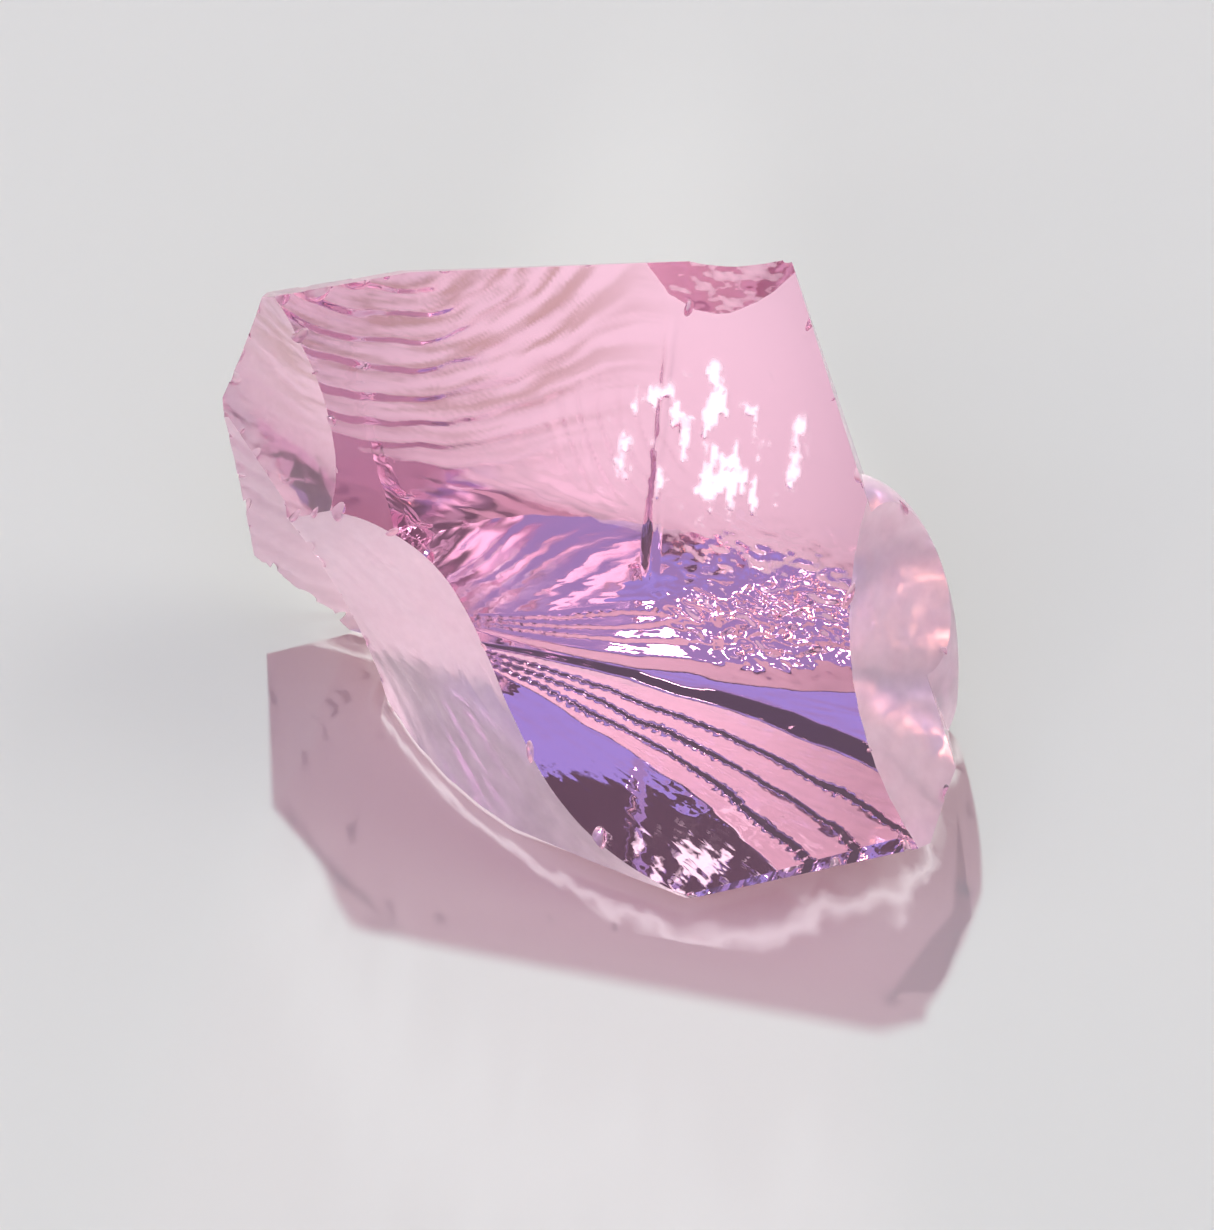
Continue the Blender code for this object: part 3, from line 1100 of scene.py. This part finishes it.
# %% [markdown]
# ## Lamps and camera
#
# One warm key lamp, high and behind the chunk, throws its shadow towards the viewer. Its place is
# given by where the shadow of a pin ends, because that is what can be measured on a table. The
# other two stand in for light that the glass itself would gather: a soft pool on the paper behind
# the chunk, which shows through the window, and a narrow beam that lights the bruise from behind.
#
# The camera is a long lens, well above the table. Light crosses many faces inside the chunk before
# it comes out, so the paths are allowed many bounces.

# %% Lamps
SHADOW_PER_HEIGHT = (0.16, -0.946)
SPOT_RADIUS = 3


def hang(name, lamp, position, aim=(0, 0, 0)):
    """Put a lamp in the scene, pointing from one place at another, both in millimetres."""
    made = put_in_scene(name, lamp)
    made.location = Vector(position) * MM
    made.rotation_euler = (Vector(position) - Vector(aim)).to_track_quat("Z", "Y").to_euler()


def spot_lamp(name, position, aim, energy, cone, softness):
    """A round beam, with its cone in degrees."""
    lamp = bpy.data.lights.new(name, "SPOT")
    lamp.energy = energy
    lamp.spot_size = math.radians(cone)
    lamp.spot_blend = softness
    lamp.shadow_soft_size = SPOT_RADIUS * MM
    hang(name, lamp, position, aim)


key = bpy.data.lights.new("key", "SUN")
key.energy = 2.25
key.angle = math.radians(1.4)
key.color = (1.0, 0.985, 0.955)
hang("key", key, (-SHADOW_PER_HEIGHT[0], -SHADOW_PER_HEIGHT[1], 1.0))
spot_lamp("pool", (3, 52, 85), (0, 19, 0), 0.13, 30, 1.0)
spot_lamp("behind", (40, 400, 42), (0, 8, 20), 4.5, 8.5, 0.4)
print("lamps:", len(bpy.data.lights))

# %% Camera
LOOKS_AT = (0.9, 0.0, 12.0)
CAMERA_ELEVATION = math.radians(48)
CAMERA_AWAY = 300

lens = bpy.data.cameras.new("camera")
lens.lens = 128.55
lens.sensor_width = 36
lens.clip_start = 0.01
camera = put_in_scene("camera", lens)
back_off = Vector((0, -math.cos(CAMERA_ELEVATION), math.sin(CAMERA_ELEVATION)))
camera.location = place(LOOKS_AT) + back_off * (CAMERA_AWAY * MM)
camera.rotation_euler = (math.radians(90) - CAMERA_ELEVATION, 0, 0)
bpy.context.scene.camera = camera
print("camera in mm:", [round(value / MM) for value in camera.location])

# %% Light paths
scene = bpy.context.scene
scene.view_settings.view_transform = "Standard"
scene.cycles.max_bounces = 32
scene.cycles.transmission_bounces = 24
scene.cycles.glossy_bounces = 24
scene.cycles.transparent_max_bounces = 24
scene.cycles.caustics_refractive = False
scene.cycles.caustics_reflective = False
print("bounces:", scene.cycles.max_bounces)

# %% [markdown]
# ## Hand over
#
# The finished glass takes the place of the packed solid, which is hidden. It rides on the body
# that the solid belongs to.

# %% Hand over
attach(crystal, "root")
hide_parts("crystal")
